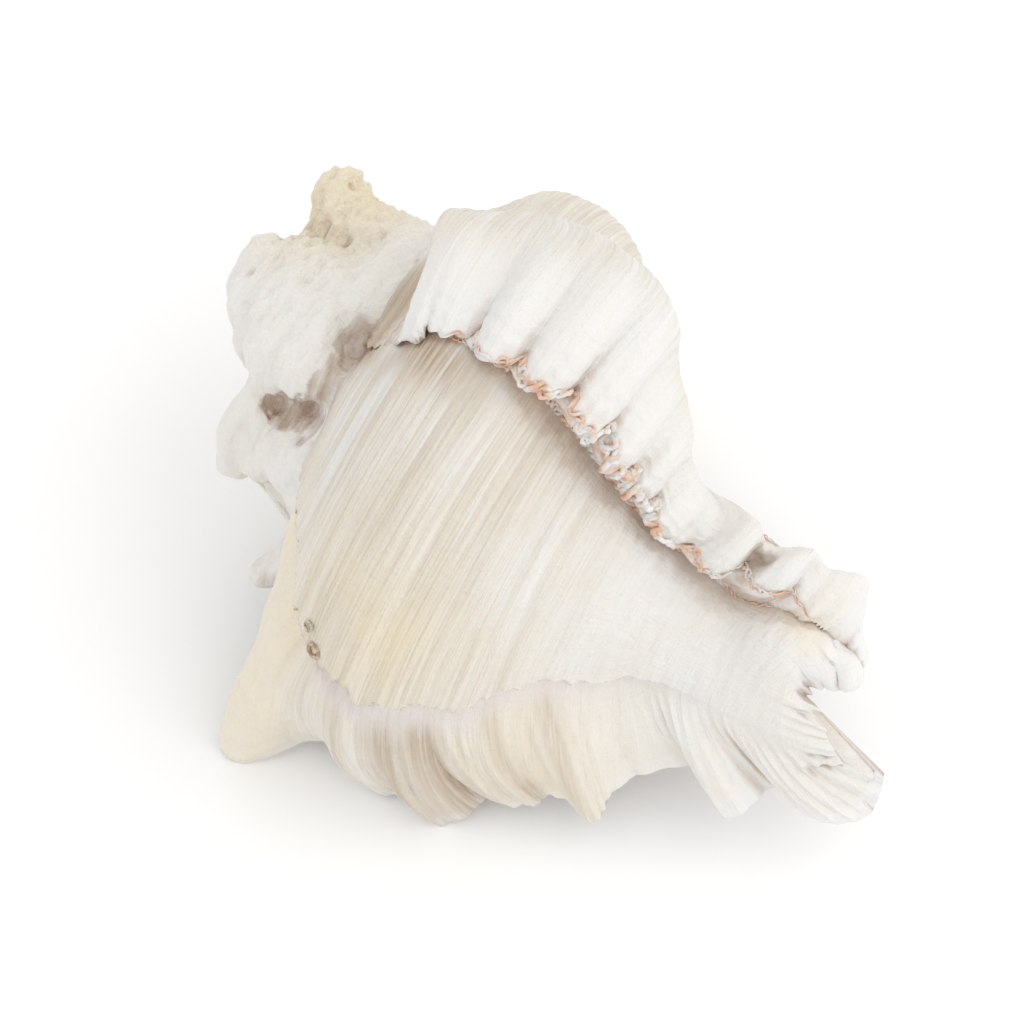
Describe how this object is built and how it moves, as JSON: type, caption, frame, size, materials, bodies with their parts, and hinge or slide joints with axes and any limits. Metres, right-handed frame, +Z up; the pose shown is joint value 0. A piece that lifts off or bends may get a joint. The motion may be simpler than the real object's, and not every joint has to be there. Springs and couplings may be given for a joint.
{
  "type": "murex shell",
  "caption": "Coiled murex shell with frilled ridges, blunt spines, a hollow mouth and a drawn-out canal, lying mouth down.",
  "frame": {"origin": "on the surface that it lies on, under the middle of its bounding box", "axes": "+X towards the end of the canal, -X towards the spire, -Y towards the lip, +Z up"},
  "size_m": [0.1304, 0.0964, 0.0903],
  "materials": {
    "shell": "satin"
  },
  "bodies": {
    "root": {"shell": "shell"}
  },
  "joints": []
}
